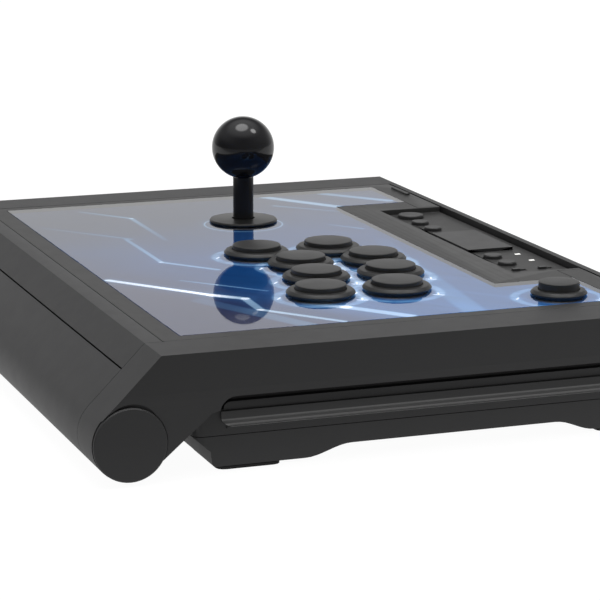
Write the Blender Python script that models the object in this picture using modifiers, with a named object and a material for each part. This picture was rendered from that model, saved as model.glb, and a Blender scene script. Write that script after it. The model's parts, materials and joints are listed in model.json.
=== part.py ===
"""Arcade joystick panel: a table-top controller with a ball-top lever, nine push buttons and a hinged lid.

Numbers are millimetres, and the helper functions turn them into metres. +X is the player's right, +Y
points away from the player and +Z is up. The origin is the middle of the footprint, on the table.
"""

import math

import bmesh
import bpy
from mathutils import Matrix, Vector

MM = 0.001
GAP = 0.3  # clearance between pieces that touch

# Case
HALF_WIDTH = 199.4  # to the outer face of an end cap
DECK_Z = 59.4  # top surface
BACK_Y = 148.1
FRONT_EDGE_Y = -115.7  # the deck turns down into the 45 degree slope here
SEAM_X = 173.3  # between the centre section and an end cap
CAP_WALL = 2.8
PLUG_RADIUS = 17.3
PLUG_DROP = 0.25  # the plug's axis lies this far below the round edge's
PLUG_SEAT = 1.8  # depth of the seat that the plug lies in
NOTCH_RADIUS = 13.6  # crescent above the plug, where it is levered out
NOTCH_REACH = 1.6
SPIGOT_RADIUS = 5.0
TUBE_RADIUS = 17.65  # the round front edge
TUBE_Y = -130.5
TUBE_Z = TUBE_Y - (FRONT_EDGE_Y - DECK_Z) - TUBE_RADIUS * math.sqrt(2)  # the slope is tangent to it
SLOPE_SEAM_Z = 48.4  # between the front trim and the palm rest
TUBE_END_ANGLE = 329  # the round edge ends here and the underside rises
ARM_RISE = math.tan(math.radians(40.4))  # slope of the underside behind the round edge

# Grip groove along each side, between the end cap and the base
GROOVE_Z = 37.75  # lower edge of the end cap
GROOVE_CORNER_Y = -80.2
GROOVE_CORNER_RADIUS = 8.0
RAIL_OUT_X = 191.2
RAIL_TOP_X = 188.8
RAIL_LOW_Z = 21.3
RAIL_HIGH_Z = 28.1
RAIL_FRONT_Y = -84.2
RAIL_BACK_Y = 141.0
RAIL_EDGE = 1.3
CHANNEL_Z = 32.1  # the channel between the end cap and the wall below it starts here
CHANNEL_X = 183.2
CHANNEL_FRONT_Y = -82.6
BEAD_Z = (19.5, 20.7)
BEAD_OUT_X = 187.8

# Base
BASE_X = 187.0
BASE_FRONT_Y = -97.0
BASE_BACK_Y = 145.5
BASE_SEAM_Z = 16.5  # between the case frame and the base plate
BASE_WALL = 2.6
BASE_CORNER = 5.0
FOOT_HEIGHT = 1.4
FOOT_X = (146.0, 186.8)
FOOT_CORNER = 4.0
FOOT_FRONT_Y = (-85.4, -54.3)
FOOT_REAR_Y = (108.0, 138.0)
ARCH_Z = 7.0  # underside of the base between the feet
FRAME_WALL = 3.0

# Inlet for the lead, at the back on the left
SOCKET_X = (-127.0, -113.0)
SOCKET_FRONT_Y = 132.0
SOCKET_Z = (38.0, 49.0)
SOCKET_WALL = 2.0
SOCKET_RECESS_Y = 137.0

# Circuit board inside the base
BOARD_X = (60.0, 150.0)
BOARD_Y = (30.0, 90.0)
BOARD_Z = (13.2, 14.8)
POST_INSET = 6.0
POST_RADIUS = 3.5

# Lid
LID_X = 172.9
LID_FRONT_Y = -106.8
LID_BACK_Y = 143.0
LID_LOW_Z = 50.9
HINGE_Y = 140.3
HINGE_Z = 57.4
PIN_RADIUS = 1.0
REAR_STRIP_Y = 144.4  # front face of the fixed strip behind the lid
TAB_X = (133.0, 156.0)
TAB_Y = (138.2, 140.9)
TAB_Z = (58.0, 60.6)
DECK_MID_X = -0.5
DECK_HALF_X = 165.5
DECK_FRONT_Y = -96.4
DECK_REAR_Y = 129.8
COVER_LOW_Z = 56.9
PLATE_Z = (54.8, 56.6)
LEDGE_Z = 54.4
LEDGE = 4.5

# Function panel: a flat plate with a sunk tray behind it
TRAY_X = (-113.2, 111.0)
TRAY_FRONT_Y = 86.6
SUNK_X = (-92.5, 91.0)
SUNK_FRONT_Y = 105.6
SUNK_RAMP = 4.6
SUNK_DEPTH = 3.0
TRAY_FLOOR = 2.0
TRAY_WALL = 2.0
FUNCTION_MID_X = -2.6
FUNCTION_Y = 117.9
FUNCTION_OFFSETS = (-59.4, -40.9, 40.9, 59.4)
FUNCTION_RADIUS = 4.9
FUNCTION_TOP_Z = 58.2
HOME_PLACE = (-81.6, 120.2)
HOME_RADIUS = 7.3
HOME_TOP_Z = 58.4
TOUCH_LOW = (-28.1, 110.7)
TOUCH_HIGH = (22.6, 136.8)
TOUCH_TOP_Z = 58.0
SLIDE_PLACES = ((72.5, 115.8), (72.5, 130.8))
SLIDE_TRAVEL = 3.5
SLIDE_HALF = (1.3, 2.0)
SLIDE_TOP_Z = 57.4
KEY_FOOT = 1.2  # how far a key's foot reaches under the tray

# Push buttons
LOWER_ROW = ((-1.1, -1.3), (32.8, 11.2), (67.8, 6.8), (103.0, -4.0))
UPPER_SHIFT = (1.8, 39.9)
OPTION_PLACE = (143.7, 106.2)
LARGE_BUTTON = {"rim": 17.5, "cap": 12.75, "barrel": 14.3, "hole": 15.0, "top": 5.4, "edge": 0.8}
SMALL_BUTTON = {"rim": 14.2, "cap": 10.15, "barrel": 11.4, "hole": 12.1, "top": 6.8, "edge": 0.6}
RIM_HEIGHT = 2.9
BARREL_DEPTH = 24.0

# Lever
STICK_X = -90.0
STICK_Y = 21.6
PIVOT_Z = DECK_Z - 20.0
BALL_RADIUS = 17.5
BALL_Z = DECK_Z + 42.0
SHAFT_RADIUS = 3.0
SHAFT_LOW_Z = 12.0
SLEEVE_RADIUS = 5.75
SHAFT_HOLE_RADIUS = 13.0
SHAFT_TOP_Z = 97.0
WASHER_RADIUS = 19.15
DISC_RADIUS = 21.0
MOUNT_PLATE_Z = (51.1, 52.7)
MOUNT_PLATE_HALF = (32.0, 47.0)
HOUSING_Z = (32.9, 50.8)
HOUSING_HALF = 29.0
HOUSING_WELL_Z = 43.5
HOUSING_BORE = 9.6
PIVOT_BALL = 9.0
PIVOT_MOUTH = 1.1  # how much its bore widens to each end, for the tilt
SWITCH_BOARD_Z = (16.5, 18.1)
SWITCH_TOP_Z = 27.5
SWITCH_REACH = 15.8  # from the shaft's axis to the middle of a microswitch
SWITCH_HALF = (3.3, 10.0)
GATE_Z = (13.0, 16.0)
GATE_HALF = 7.3
SPRING_Z = (25.2, 31.2)

# Sides of the round shapes
PIN_STEPS = 12
KEY_STEPS = 16
BUTTON_STEPS = 20
ROUND_STEPS = 24
PLUG_STEPS = 48

# name: (red, green, blue), roughness, metallic
FINISHES = {
    "case_plastic": ((0.030, 0.030, 0.031), 0.55, 0.0),
    "lid_plastic": ((0.036, 0.036, 0.036), 0.50, 0.0),
    "grip_plastic": ((0.028, 0.028, 0.029), 0.42, 0.0),
    "deck_artwork": ((0.020, 0.060, 0.220), 0.12, 0.0),
    "button_plastic": ((0.026, 0.026, 0.027), 0.38, 0.0),
    "ball_plastic": ((0.010, 0.010, 0.011), 0.08, 0.0),
    "rubber": ((0.020, 0.020, 0.020), 0.80, 0.0),
    "sheet_steel": ((0.560, 0.570, 0.580), 0.35, 1.0),
    "shaft_steel": ((0.620, 0.620, 0.640), 0.20, 1.0),
    "white_plastic": ((0.780, 0.780, 0.760), 0.45, 0.0),
    "board_green": ((0.020, 0.140, 0.050), 0.40, 0.0),
}


def clear_scene():
    for old in list(bpy.data.objects):
        bpy.data.objects.remove(old, do_unlink=True)


def new_collection(name):
    collection = bpy.data.collections.new(name)
    bpy.context.scene.collection.children.link(collection)
    return collection


clear_scene()
PARTS = new_collection("arcade_joystick_panel")
CUTTERS = new_collection("cutters")


def finish_material(name):
    material = bpy.data.materials.get(name)
    if material:
        return material
    color, roughness, metallic = FINISHES[name]
    material = bpy.data.materials.new(name)
    material.use_nodes = True
    shader = material.node_tree.nodes["Principled BSDF"]
    shader.inputs["Base Color"].default_value = (*color, 1.0)
    shader.inputs["Roughness"].default_value = roughness
    shader.inputs["Metallic"].default_value = metallic
    material.diffuse_color = (*color, 1.0)
    return material


def add_object(name, bm, finish, centre=(0, 0, 0)):
    """Makes the object of a bmesh in millimetres. With no finish it is a cutter."""
    bmesh.ops.recalc_face_normals(bm, faces=bm.faces)
    bmesh.ops.scale(bm, vec=(MM, MM, MM), verts=bm.verts)
    mesh = bpy.data.meshes.new(name)
    bm.to_mesh(mesh)
    bm.free()
    made = bpy.data.objects.new(name, mesh)
    made.location = Vector(centre) * MM
    if finish:
        mesh.materials.append(finish_material(finish))
        PARTS.objects.link(made)
    else:
        made.hide_render = True
        made.display_type = "WIRE"
        CUTTERS.objects.link(made)
    return made


def block(name, x, y, z, finish=None, bevel=0.0):
    """A box between the pairs x, y and z, with its edges rounded by a Bevel modifier."""
    size = [pair[1] - pair[0] for pair in (x, y, z)]
    middle = [(pair[1] + pair[0]) / 2 for pair in (x, y, z)]
    bm = bmesh.new()
    bmesh.ops.create_cube(bm, size=1.0)
    bmesh.ops.scale(bm, vec=size, verts=bm.verts)
    made = add_object(name, bm, finish, middle)
    if bevel:
        modifier = made.modifiers.new("Edges", "BEVEL")
        modifier.width = bevel * MM
        modifier.segments = 3
    return made


def extruded(name, outline, axis, span, finish=None):
    """A prism: outline holds (y, z) points for axis X, (x, z) for axis Y or (x, y) for axis Z."""
    start, end = span
    bm = bmesh.new()
    if axis == "X":
        corners = [bm.verts.new((start, a, b)) for a, b in outline]
        move = (end - start, 0, 0)
    elif axis == "Y":
        corners = [bm.verts.new((a, start, b)) for a, b in outline]
        move = (0, end - start, 0)
    else:
        corners = [bm.verts.new((a, b, start)) for a, b in outline]
        move = (0, 0, end - start)
    face = bm.faces.new(corners)
    sides = bmesh.ops.extrude_face_region(bm, geom=[face])["geom"]
    far = [v for v in sides if isinstance(v, bmesh.types.BMVert)]
    bmesh.ops.translate(bm, vec=move, verts=far)
    return add_object(name, bm, finish)


def cylinder(name, centre, radius, span, axis="Z", finish=None, steps=BUTTON_STEPS):
    """A cylinder about an axis through centre; span holds its two ends along that axis."""
    low, high = span
    bm = bmesh.new()
    bmesh.ops.create_cone(
        bm, cap_ends=True, segments=steps, radius1=radius, radius2=radius, depth=high - low
    )
    if axis == "X":
        bmesh.ops.rotate(bm, matrix=Matrix.Rotation(math.pi / 2, 3, "Y"), verts=bm.verts)
        place = ((low + high) / 2, centre[0], centre[1])
    else:
        place = (centre[0], centre[1], (low + high) / 2)
    return add_object(name, bm, finish, place)


def turned(name, profile, centre, finish, steps=BUTTON_STEPS, ring=False):
    """A turned piece. profile holds (radius, height) points that run down the outer side."""
    mesh = bpy.data.meshes.new(name)
    points = [(radius * MM, 0, height * MM) for radius, height in profile]
    edges = [(i, i + 1) for i in range(len(points) - 1)]
    if ring:
        edges.append((len(points) - 1, 0))
    mesh.from_pydata(points, edges, [])
    mesh.materials.append(finish_material(finish))
    made = bpy.data.objects.new(name, mesh)
    made.location = Vector(centre) * MM
    PARTS.objects.link(made)
    screw = made.modifiers.new("Turn", "SCREW")
    screw.steps = steps
    screw.render_steps = steps
    screw.use_merge_vertices = True
    screw.merge_threshold = 0.00001
    return made


def combine(target, other, operation="DIFFERENCE"):
    modifier = target.modifiers.new(other.name, "BOOLEAN")
    modifier.operation = operation
    modifier.object = other


def parent_to(empty, pieces):
    """Parents the pieces and leaves them where they are."""
    for piece in pieces:
        piece.parent = empty
        piece.matrix_parent_inverse = Matrix.Translation(-empty.location)


def joint_empty(name, place):
    empty = bpy.data.objects.new(name, None)
    empty.location = Vector(place) * MM
    PARTS.objects.link(empty)
    return empty


def on_circle(centre, radius, degrees):
    angle = math.radians(degrees)
    return (centre[0] + radius * math.cos(angle), centre[1] + radius * math.sin(angle))


def arc(centre, radius, start, end, steps):
    """Points of an arc about centre, from start to end in degrees."""
    return [on_circle(centre, radius, start + (end - start) * i / steps) for i in range(steps + 1)]


def eased(start, end, steps):
    """Points of a curve from start to end that is level at both ends."""
    points = []
    for i in range(steps + 1):
        share = i / steps
        rise = (1 - math.cos(math.pi * share)) / 2
        points.append((start[0] + (end[0] - start[0]) * share, start[1] + (end[1] - start[1]) * rise))
    return points


def inset(outline, depth):
    """An anticlockwise outline moved inwards by depth, with mitred corners."""
    moved = []
    count = len(outline)
    for i in range(count):
        here = Vector(outline[i])
        arriving = (here - Vector(outline[i - 1])).normalized()
        leaving = (Vector(outline[(i + 1) % count]) - here).normalized()
        normals = Vector((-arriving.y, arriving.x)) + Vector((-leaving.y, leaving.x))
        moved.append(tuple(here + normals * depth / (1 + arriving.dot(leaving))))
    return moved


def on_side(side, low, high):
    """The pair low and high for side 1, the right, or their mirror image for side -1, the left."""
    return tuple(sorted((side * low, side * high)))


def about(middle, half):
    return (middle - half, middle + half)


def rounded_rectangle(x, y, radius, steps=3):
    corners = (
        ((x[1] - radius, y[1] - radius), 0),
        ((x[0] + radius, y[1] - radius), 90),
        ((x[0] + radius, y[0] + radius), 180),
        ((x[1] - radius, y[0] + radius), 270),
    )
    return [p for centre, start in corners for p in arc(centre, radius, start, start + 90, steps)]


def front_profile():
    """The slope's foot, the round front edge and the underside that rises behind it."""
    return arc((TUBE_Y, TUBE_Z), TUBE_RADIUS, 135, TUBE_END_ANGLE, 26)


def underside_height(y):
    tip_y, tip_z = front_profile()[-1]
    return tip_z + (y - tip_y) * ARM_RISE


def cap_outline():
    groove = arc(
        (GROOVE_CORNER_Y, GROOVE_Z - GROOVE_CORNER_RADIUS), GROOVE_CORNER_RADIUS, 168, 90, 5
    )
    return [
        (BACK_Y, DECK_Z),
        (FRONT_EDGE_Y, DECK_Z),
        *front_profile(),
        (-95.6, underside_height(-95.6)),
        (-91.8, groove[0][1] - 0.7),
        *groove,
        (BACK_Y, GROOVE_Z),
    ]


def plug_centre():
    return (TUBE_Y, TUBE_Z - PLUG_DROP)


def seat_outline():
    """Close round the plug on the side of the arm, and wide enough elsewhere to leave no thin wall."""
    outline = []
    for i in range(PLUG_STEPS):
        angle = 360 * i / PLUG_STEPS
        in_the_arm = math.cos(math.radians(angle - 52)) > 0.1
        room = GAP if in_the_arm else 1.0
        outline.append(on_circle(plug_centre(), PLUG_RADIUS + room, angle))
    return outline


def make_end_cap(name, side):
    """A hollow moulded end, open on its inner side, with a seat for the round plug and a hinge boss."""
    inner_x = SEAM_X + GAP / 2
    cap = extruded(name, cap_outline(), "X", on_side(side, inner_x, HALF_WIDTH), "case_plastic")
    hollow_x = on_side(side, inner_x - 2, HALF_WIDTH - CAP_WALL)
    hollow = extruded(name + "_hollow", inset(cap_outline(), CAP_WALL), "X", hollow_x)
    seat_x = on_side(side, HALF_WIDTH - PLUG_SEAT, HALF_WIDTH + 2)
    seat = extruded(name + "_seat", seat_outline(), "X", seat_x)
    notch_rise = PLUG_RADIUS + NOTCH_REACH - NOTCH_RADIUS
    notch_centre = on_circle(plug_centre(), notch_rise, 82)
    notch = cylinder(name + "_notch", notch_centre, NOTCH_RADIUS, seat_x, "X", steps=PLUG_STEPS)
    bore_x = on_side(side, HALF_WIDTH - 6, HALF_WIDTH + 2)
    bore = cylinder(name + "_bore", plug_centre(), SPIGOT_RADIUS + GAP, bore_x, "X")
    boss = block(name + "_boss", on_side(side, inner_x, inner_x + 7.5), (136.0, 144.5), (53.0, 58.0))
    pin_x = on_side(side, inner_x - 2, inner_x + 6.5)
    pin_hole = cylinder(name + "_pin_hole", (HINGE_Y, HINGE_Z), PIN_RADIUS + GAP, pin_x, "X", steps=PIN_STEPS)
    frame_room = block(
        name + "_frame_room",
        on_side(side, inner_x - 2, BASE_X + GAP),
        (BASE_FRONT_Y - GAP, GROOVE_CORNER_Y + 5),
        (BASE_SEAM_Z, GROOVE_Z),
    )
    combine(cap, hollow)
    combine(cap, boss, "UNION")
    for cutter in (seat, notch, bore, pin_hole, frame_room):
        combine(cap, cutter)
    return cap


def make_tube_plug(name, side):
    """The round disc that closes the end of the front edge, with a short spigot."""
    face = HALF_WIDTH + 0.5
    back = HALF_WIDTH - 1.5
    tip = HALF_WIDTH - 8.4
    profile = [
        (0, face),
        (PLUG_RADIUS - 0.6, face),
        (PLUG_RADIUS, face - 0.6),
        (PLUG_RADIUS, back),
        (SPIGOT_RADIUS, back),
        (SPIGOT_RADIUS, tip),
        (0, tip),
    ]
    plug = turned(name, profile, (0, *plug_centre()), "case_plastic", steps=PLUG_STEPS)
    plug.rotation_euler = (0, side * math.pi / 2, 0)
    return plug


def make_palm_rest():
    """The slope's lower part and the round front edge, one hollow extrusion open at its ends."""
    wall_y = BASE_FRONT_Y - 0.4
    top_y = FRONT_EDGE_Y - DECK_Z + SLOPE_SEAM_Z - GAP
    top_z = SLOPE_SEAM_Z - GAP
    outline = [
        (wall_y, top_z - 4.2),
        (top_y + 4.2, top_z - 4.2),
        (top_y, top_z),
        *front_profile(),
        (wall_y, underside_height(wall_y)),
    ]
    reach = SEAM_X - GAP / 2
    rest = extruded("palm_rest", outline, "X", (-reach, reach), "case_plastic")
    hollow = extruded("palm_rest_hollow", inset(outline, 2.4), "X", (-reach - 5, reach + 5))
    combine(rest, hollow)


def make_front_trim():
    """The strip over the front edge of the deck, with a lip that the closed lid lies on."""
    lip_y = LID_FRONT_Y - 0.4
    foot_y = FRONT_EDGE_Y - DECK_Z + SLOPE_SEAM_Z + 0.2
    foot_z = SLOPE_SEAM_Z + 0.2
    lip_z = LID_LOW_Z - 0.4
    outline = [
        (lip_y, DECK_Z),
        (FRONT_EDGE_Y, DECK_Z),
        (foot_y, foot_z),
        (foot_y + 2.2, foot_z - 2.2),
        (lip_y + 6, foot_z - 2.2),
        (lip_y + 6, lip_z),
        (lip_y, lip_z),
    ]
    reach = SEAM_X - GAP / 2
    extruded("front_trim", outline, "X", (-reach, reach), "case_plastic")


def base_outline():
    foot_z = FOOT_HEIGHT + GAP
    return [
        (BASE_BACK_Y, BASE_SEAM_Z - GAP),
        (BASE_FRONT_Y, BASE_SEAM_Z - GAP),
        (-89.0, 9.0),
        (-88.3, 2.9),
        (-86.4, foot_z),
        *eased((-43.0, foot_z), (-19.6, ARCH_Z), 8),
        *eased((85.0, ARCH_Z), (106.0, foot_z), 8),
        (142.0, foot_z),
        (BASE_BACK_Y, foot_z + 4),
    ]


def make_base_plate():
    """The bottom shell: a tray whose floor arches up between the feet, with posts for the board."""
    plate = extruded("base_plate", base_outline(), "X", (-BASE_X, BASE_X), "case_plastic")
    room = inset(base_outline(), BASE_WALL)
    room[0] = (room[0][0], BASE_SEAM_Z + 5)
    room[1] = (room[1][0], BASE_SEAM_Z + 5)
    hollow = extruded("base_plate_hollow", room, "X", (BASE_WALL - BASE_X, BASE_X - BASE_WALL))
    corners = rounded_rectangle((-BASE_X, BASE_X), (BASE_FRONT_Y, BASE_BACK_Y), BASE_CORNER, 4)
    combine(plate, extruded("base_corners", corners, "Z", (0, BASE_SEAM_Z + 5)), "INTERSECT")
    combine(plate, hollow)
    for x in (BOARD_X[0] + POST_INSET, BOARD_X[1] - POST_INSET):
        for y in (BOARD_Y[0] + POST_INSET, BOARD_Y[1] - POST_INSET):
            post_z = (ARCH_Z + 1.5, BOARD_Z[0] - GAP)
            post = cylinder(f"board_post_{x:.0f}_{y:.0f}", (x, y), POST_RADIUS, post_z, steps=10)
            combine(plate, post, "UNION")


def channel_outline():
    """(y, z) points of the channel, which runs up the front of the wall's panel and along its top."""
    radius = 3.2
    edge = arc((CHANNEL_FRONT_Y + radius, CHANNEL_Z - radius), radius, 180, 90, 4)
    return [
        (CHANNEL_FRONT_Y - 3.4, RAIL_HIGH_Z + 0.6),
        (CHANNEL_FRONT_Y, RAIL_HIGH_Z + 0.6),
        *edge,
        (BASE_BACK_Y + 5, CHANNEL_Z),
        (BASE_BACK_Y + 5, GROOVE_Z + 5),
        (CHANNEL_FRONT_Y - 3.4, GROOVE_Z + 5),
    ]


def make_case_frame():
    """The walls up to the end caps, with a channel above each grip rail, and the strip behind the lid."""
    low, high = BASE_SEAM_Z, GROOVE_Z - GAP
    corners = rounded_rectangle((-BASE_X, BASE_X), (BASE_FRONT_Y, BASE_BACK_Y), BASE_CORNER, 4)
    frame = extruded("case_frame", corners, "Z", (low, high), "case_plastic")
    room = block(
        "case_frame_room",
        (FRAME_WALL - BASE_X, BASE_X - FRAME_WALL),
        (BASE_FRONT_Y + FRAME_WALL, BASE_BACK_Y - FRAME_WALL),
        (low - 5, high + 5),
    )
    reach = SEAM_X - GAP / 2
    strip = block("rear_strip", (-reach, reach), (REAR_STRIP_Y, BACK_Y), (low + 14, DECK_Z))
    combine(frame, room)
    combine(frame, strip, "UNION")
    for side in (-1, 1):
        rib = block(
            f"channel_rib_{side}",
            on_side(side, CHANNEL_X - FRAME_WALL, BASE_X - 1),
            (BASE_FRONT_Y + 1, BASE_BACK_Y - 1),
            (RAIL_HIGH_Z - 2.5, high),
        )
        combine(frame, rib, "UNION")
        channel_x = on_side(side, CHANNEL_X, BASE_X + 5)
        channel = extruded(f"channel_{side}", channel_outline(), "X", channel_x)
        combine(frame, channel)
        bead_x = on_side(side, BASE_X - 1, BEAD_OUT_X)
        bead = block(f"rail_bead_{side}", bead_x, (RAIL_FRONT_Y + 3, RAIL_BACK_Y), BEAD_Z)
        combine(frame, bead, "UNION")
    gap_x = (SOCKET_X[0] - GAP, SOCKET_X[1] + GAP)
    gap_z = (SOCKET_Z[0] - GAP, SOCKET_Z[1] + GAP)
    combine(frame, block("socket_gap", gap_x, (BASE_BACK_Y - 8, BACK_Y + 5), gap_z))


def make_grip_rail(name, side):
    """The soft rail that the fingers hold, sloped on top and rounded along its edges."""
    section = [
        (BASE_X + GAP, RAIL_LOW_Z),
        (RAIL_OUT_X, RAIL_LOW_Z),
        (RAIL_OUT_X, RAIL_LOW_Z + 3.0),
        (RAIL_TOP_X, RAIL_HIGH_Z),
        (BASE_X + GAP, RAIL_HIGH_Z),
    ]
    outline = [(side * x, z) for x, z in section]
    rail = extruded(name, outline, "Y", (RAIL_FRONT_Y, RAIL_BACK_Y), "grip_plastic")
    modifier = rail.modifiers.new("Edges", "BEVEL")
    modifier.width = RAIL_EDGE * MM
    modifier.segments = 3


def make_socket():
    """The inlet for the lead, a shell with a recess that opens to the back."""
    socket = block("usb_socket", SOCKET_X, (SOCKET_FRONT_Y, BACK_Y - 0.2), SOCKET_Z, "sheet_steel")
    recess_x = (SOCKET_X[0] + SOCKET_WALL, SOCKET_X[1] - SOCKET_WALL)
    recess_z = (SOCKET_Z[0] + SOCKET_WALL, SOCKET_Z[1] - SOCKET_WALL)
    combine(socket, block("usb_socket_recess", recess_x, (SOCKET_RECESS_Y, BACK_Y + 5), recess_z))


def make_base():
    make_base_plate()
    make_case_frame()
    make_socket()
    block("circuit_board", BOARD_X, BOARD_Y, BOARD_Z, "board_green")
    for side, hand in ((-1, "left"), (1, "right")):
        for end, span in (("front", FOOT_FRONT_Y), ("rear", FOOT_REAR_Y)):
            outline = rounded_rectangle(on_side(side, *FOOT_X), span, FOOT_CORNER)
            extruded(f"foot_{end}_{hand}", outline, "Z", (0, FOOT_HEIGHT), "rubber")
        make_grip_rail(f"grip_rail_{hand}", side)
        make_end_cap(f"end_cap_{hand}", side)
        make_tube_plug(f"tube_plug_{hand}", side)
        pin_x = on_side(side, LID_X - 6.5, SEAM_X + 6.2)
        cylinder(
            f"hinge_pin_{hand}", (HINGE_Y, HINGE_Z), PIN_RADIUS, pin_x, "X", "shaft_steel", steps=PIN_STEPS
        )


def make_lid_frame():
    """The rim of the lid: a ring with a ledge that the deck lies on, cut away at the back for the tray."""
    frame = extruded(
        "lid_frame",
        rounded_rectangle((-LID_X, LID_X), (LID_FRONT_Y, LID_BACK_Y), 0.8, 1),
        "Z",
        (LID_LOW_Z, DECK_Z),
        "lid_plastic",
    )
    deck_x = (DECK_MID_X - DECK_HALF_X, DECK_MID_X + DECK_HALF_X)
    opening = block("deck_opening", deck_x, (DECK_FRONT_Y, DECK_REAR_Y), (LEDGE_Z, DECK_Z + 5))
    ledge = block(
        "ledge_opening",
        (deck_x[0] + LEDGE, deck_x[1] - LEDGE),
        (DECK_FRONT_Y + LEDGE, DECK_REAR_Y - LEDGE),
        (LID_LOW_Z - 5, DECK_Z + 5),
    )
    pan_x = (SUNK_X[0] - TRAY_WALL - GAP, SUNK_X[1] + TRAY_WALL + GAP)
    pan_notch = block("pan_notch", pan_x, (DECK_REAR_Y - 6, LID_BACK_Y + 5), (LEDGE_Z - GAP, DECK_Z + 5))
    switch_notch = block("switch_notch", pan_x, (DECK_REAR_Y - 10, 138.7), (LID_LOW_Z - 5, DECK_Z + 2))
    for cutter in (opening, ledge, pan_notch, switch_notch):
        combine(frame, cutter)
    for side in (-1, 1):
        tab = block(f"lid_tab_{side}", on_side(side, *TAB_X), TAB_Y, TAB_Z)
        combine(frame, tab, "UNION")
        pin_hole = cylinder(
            f"lid_pin_hole_{side}",
            (HINGE_Y, HINGE_Z),
            PIN_RADIUS + GAP,
            on_side(side, LID_X - 7, LID_X + 2),
            "X",
            steps=PIN_STEPS,
        )
        combine(frame, pin_hole)
    return frame


def upper_row():
    return [(x + UPPER_SHIFT[0], y + UPPER_SHIFT[1]) for x, y in LOWER_ROW]


def button_places():
    """(name, place, sizes) of the nine push buttons."""
    places = []
    for row, spots in (("lower", LOWER_ROW), ("upper", upper_row())):
        places += [(f"{row}_button_{i + 1}", spot, LARGE_BUTTON) for i, spot in enumerate(spots)]
    places.append(("option_button", OPTION_PLACE, SMALL_BUTTON))
    return places


def make_deck():
    """The steel plate and the clear cover over it, drilled for the buttons and the lever."""
    x = (DECK_MID_X - DECK_HALF_X + GAP, DECK_MID_X + DECK_HALF_X - GAP)
    y = (DECK_FRONT_Y + GAP, DECK_REAR_Y - GAP)
    plate = block("panel_plate", x, y, PLATE_Z, "sheet_steel")
    cover = block("deck_cover", x, y, (COVER_LOW_Z, DECK_Z), "deck_artwork")
    depth = (PLATE_Z[0] - 5, DECK_Z + 5)
    holes = [
        cylinder(name + "_hole", place, sizes["hole"], depth) for name, place, sizes in button_places()
    ]
    holes.append(cylinder("shaft_hole", (STICK_X, STICK_Y), SHAFT_HOLE_RADIUS, depth, steps=ROUND_STEPS))
    for cutter in holes:
        combine(plate, cutter)
        combine(cover, cutter)
    tray_gap = block(
        "tray_gap",
        (TRAY_X[0] - GAP, TRAY_X[1] + GAP),
        (TRAY_FRONT_Y - GAP, DECK_REAR_Y + 5),
        (COVER_LOW_Z - 5, DECK_Z + 5),
    )
    combine(cover, tray_gap)
    pan_gap = block(
        "pan_gap",
        (SUNK_X[0] - TRAY_WALL - GAP, SUNK_X[1] + TRAY_WALL + GAP),
        (SUNK_FRONT_Y - TRAY_WALL - GAP, DECK_REAR_Y + 5),
        depth,
    )
    combine(plate, pan_gap)
    return [plate, cover]


def function_buttons():
    """(name, place, radius, top) of the round keys in the tray."""
    keys = [
        (f"function_button_{i + 1}", (FUNCTION_MID_X + offset, FUNCTION_Y), FUNCTION_RADIUS, FUNCTION_TOP_Z)
        for i, offset in enumerate(FUNCTION_OFFSETS)
    ]
    return keys + [("home_button", HOME_PLACE, HOME_RADIUS, HOME_TOP_Z)]


def make_function_tray():
    """The black plate at the back of the deck and the tray sunk behind it, open at the back."""
    floor_z = DECK_Z - SUNK_DEPTH
    pan_low = floor_z - TRAY_FLOOR
    tray_y = (TRAY_FRONT_Y, DECK_REAR_Y - GAP)
    tray = block("function_tray", TRAY_X, tray_y, (COVER_LOW_Z, DECK_Z), "lid_plastic")
    pan = block(
        "tray_pan",
        (SUNK_X[0] - TRAY_WALL, SUNK_X[1] + TRAY_WALL),
        (SUNK_FRONT_Y - TRAY_WALL, LID_BACK_Y),
        (pan_low, DECK_Z),
    )
    combine(tray, pan, "UNION")
    sunk = [
        (SUNK_FRONT_Y - 2, DECK_Z + 2 * SUNK_DEPTH / SUNK_RAMP),
        (SUNK_FRONT_Y + SUNK_RAMP, floor_z),
        (LID_BACK_Y + 5, floor_z),
        (LID_BACK_Y + 5, DECK_Z + 2 * SUNK_DEPTH / SUNK_RAMP),
    ]
    combine(tray, extruded("tray_sunk", sunk, "X", SUNK_X))
    depth = (pan_low - 5, DECK_Z + 5)
    for name, place, radius, _ in function_buttons():
        combine(tray, cylinder(name + "_hole", place, radius + GAP, depth, steps=KEY_STEPS))
    touch_x = (TOUCH_LOW[0] - GAP, TOUCH_HIGH[0] + GAP)
    touch_y = (TOUCH_LOW[1] - GAP, TOUCH_HIGH[1] + GAP)
    combine(tray, block("touchpad_hole", touch_x, touch_y, depth))
    for i, (x, y) in enumerate(SLIDE_PLACES):
        slot_y = (y - SLIDE_HALF[1] - GAP, y + SLIDE_HALF[1] + SLIDE_TRAVEL + GAP)
        combine(tray, block(f"slide_slot_{i + 1}", about(x, SLIDE_HALF[0] + GAP), slot_y, depth))
    return tray


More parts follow.
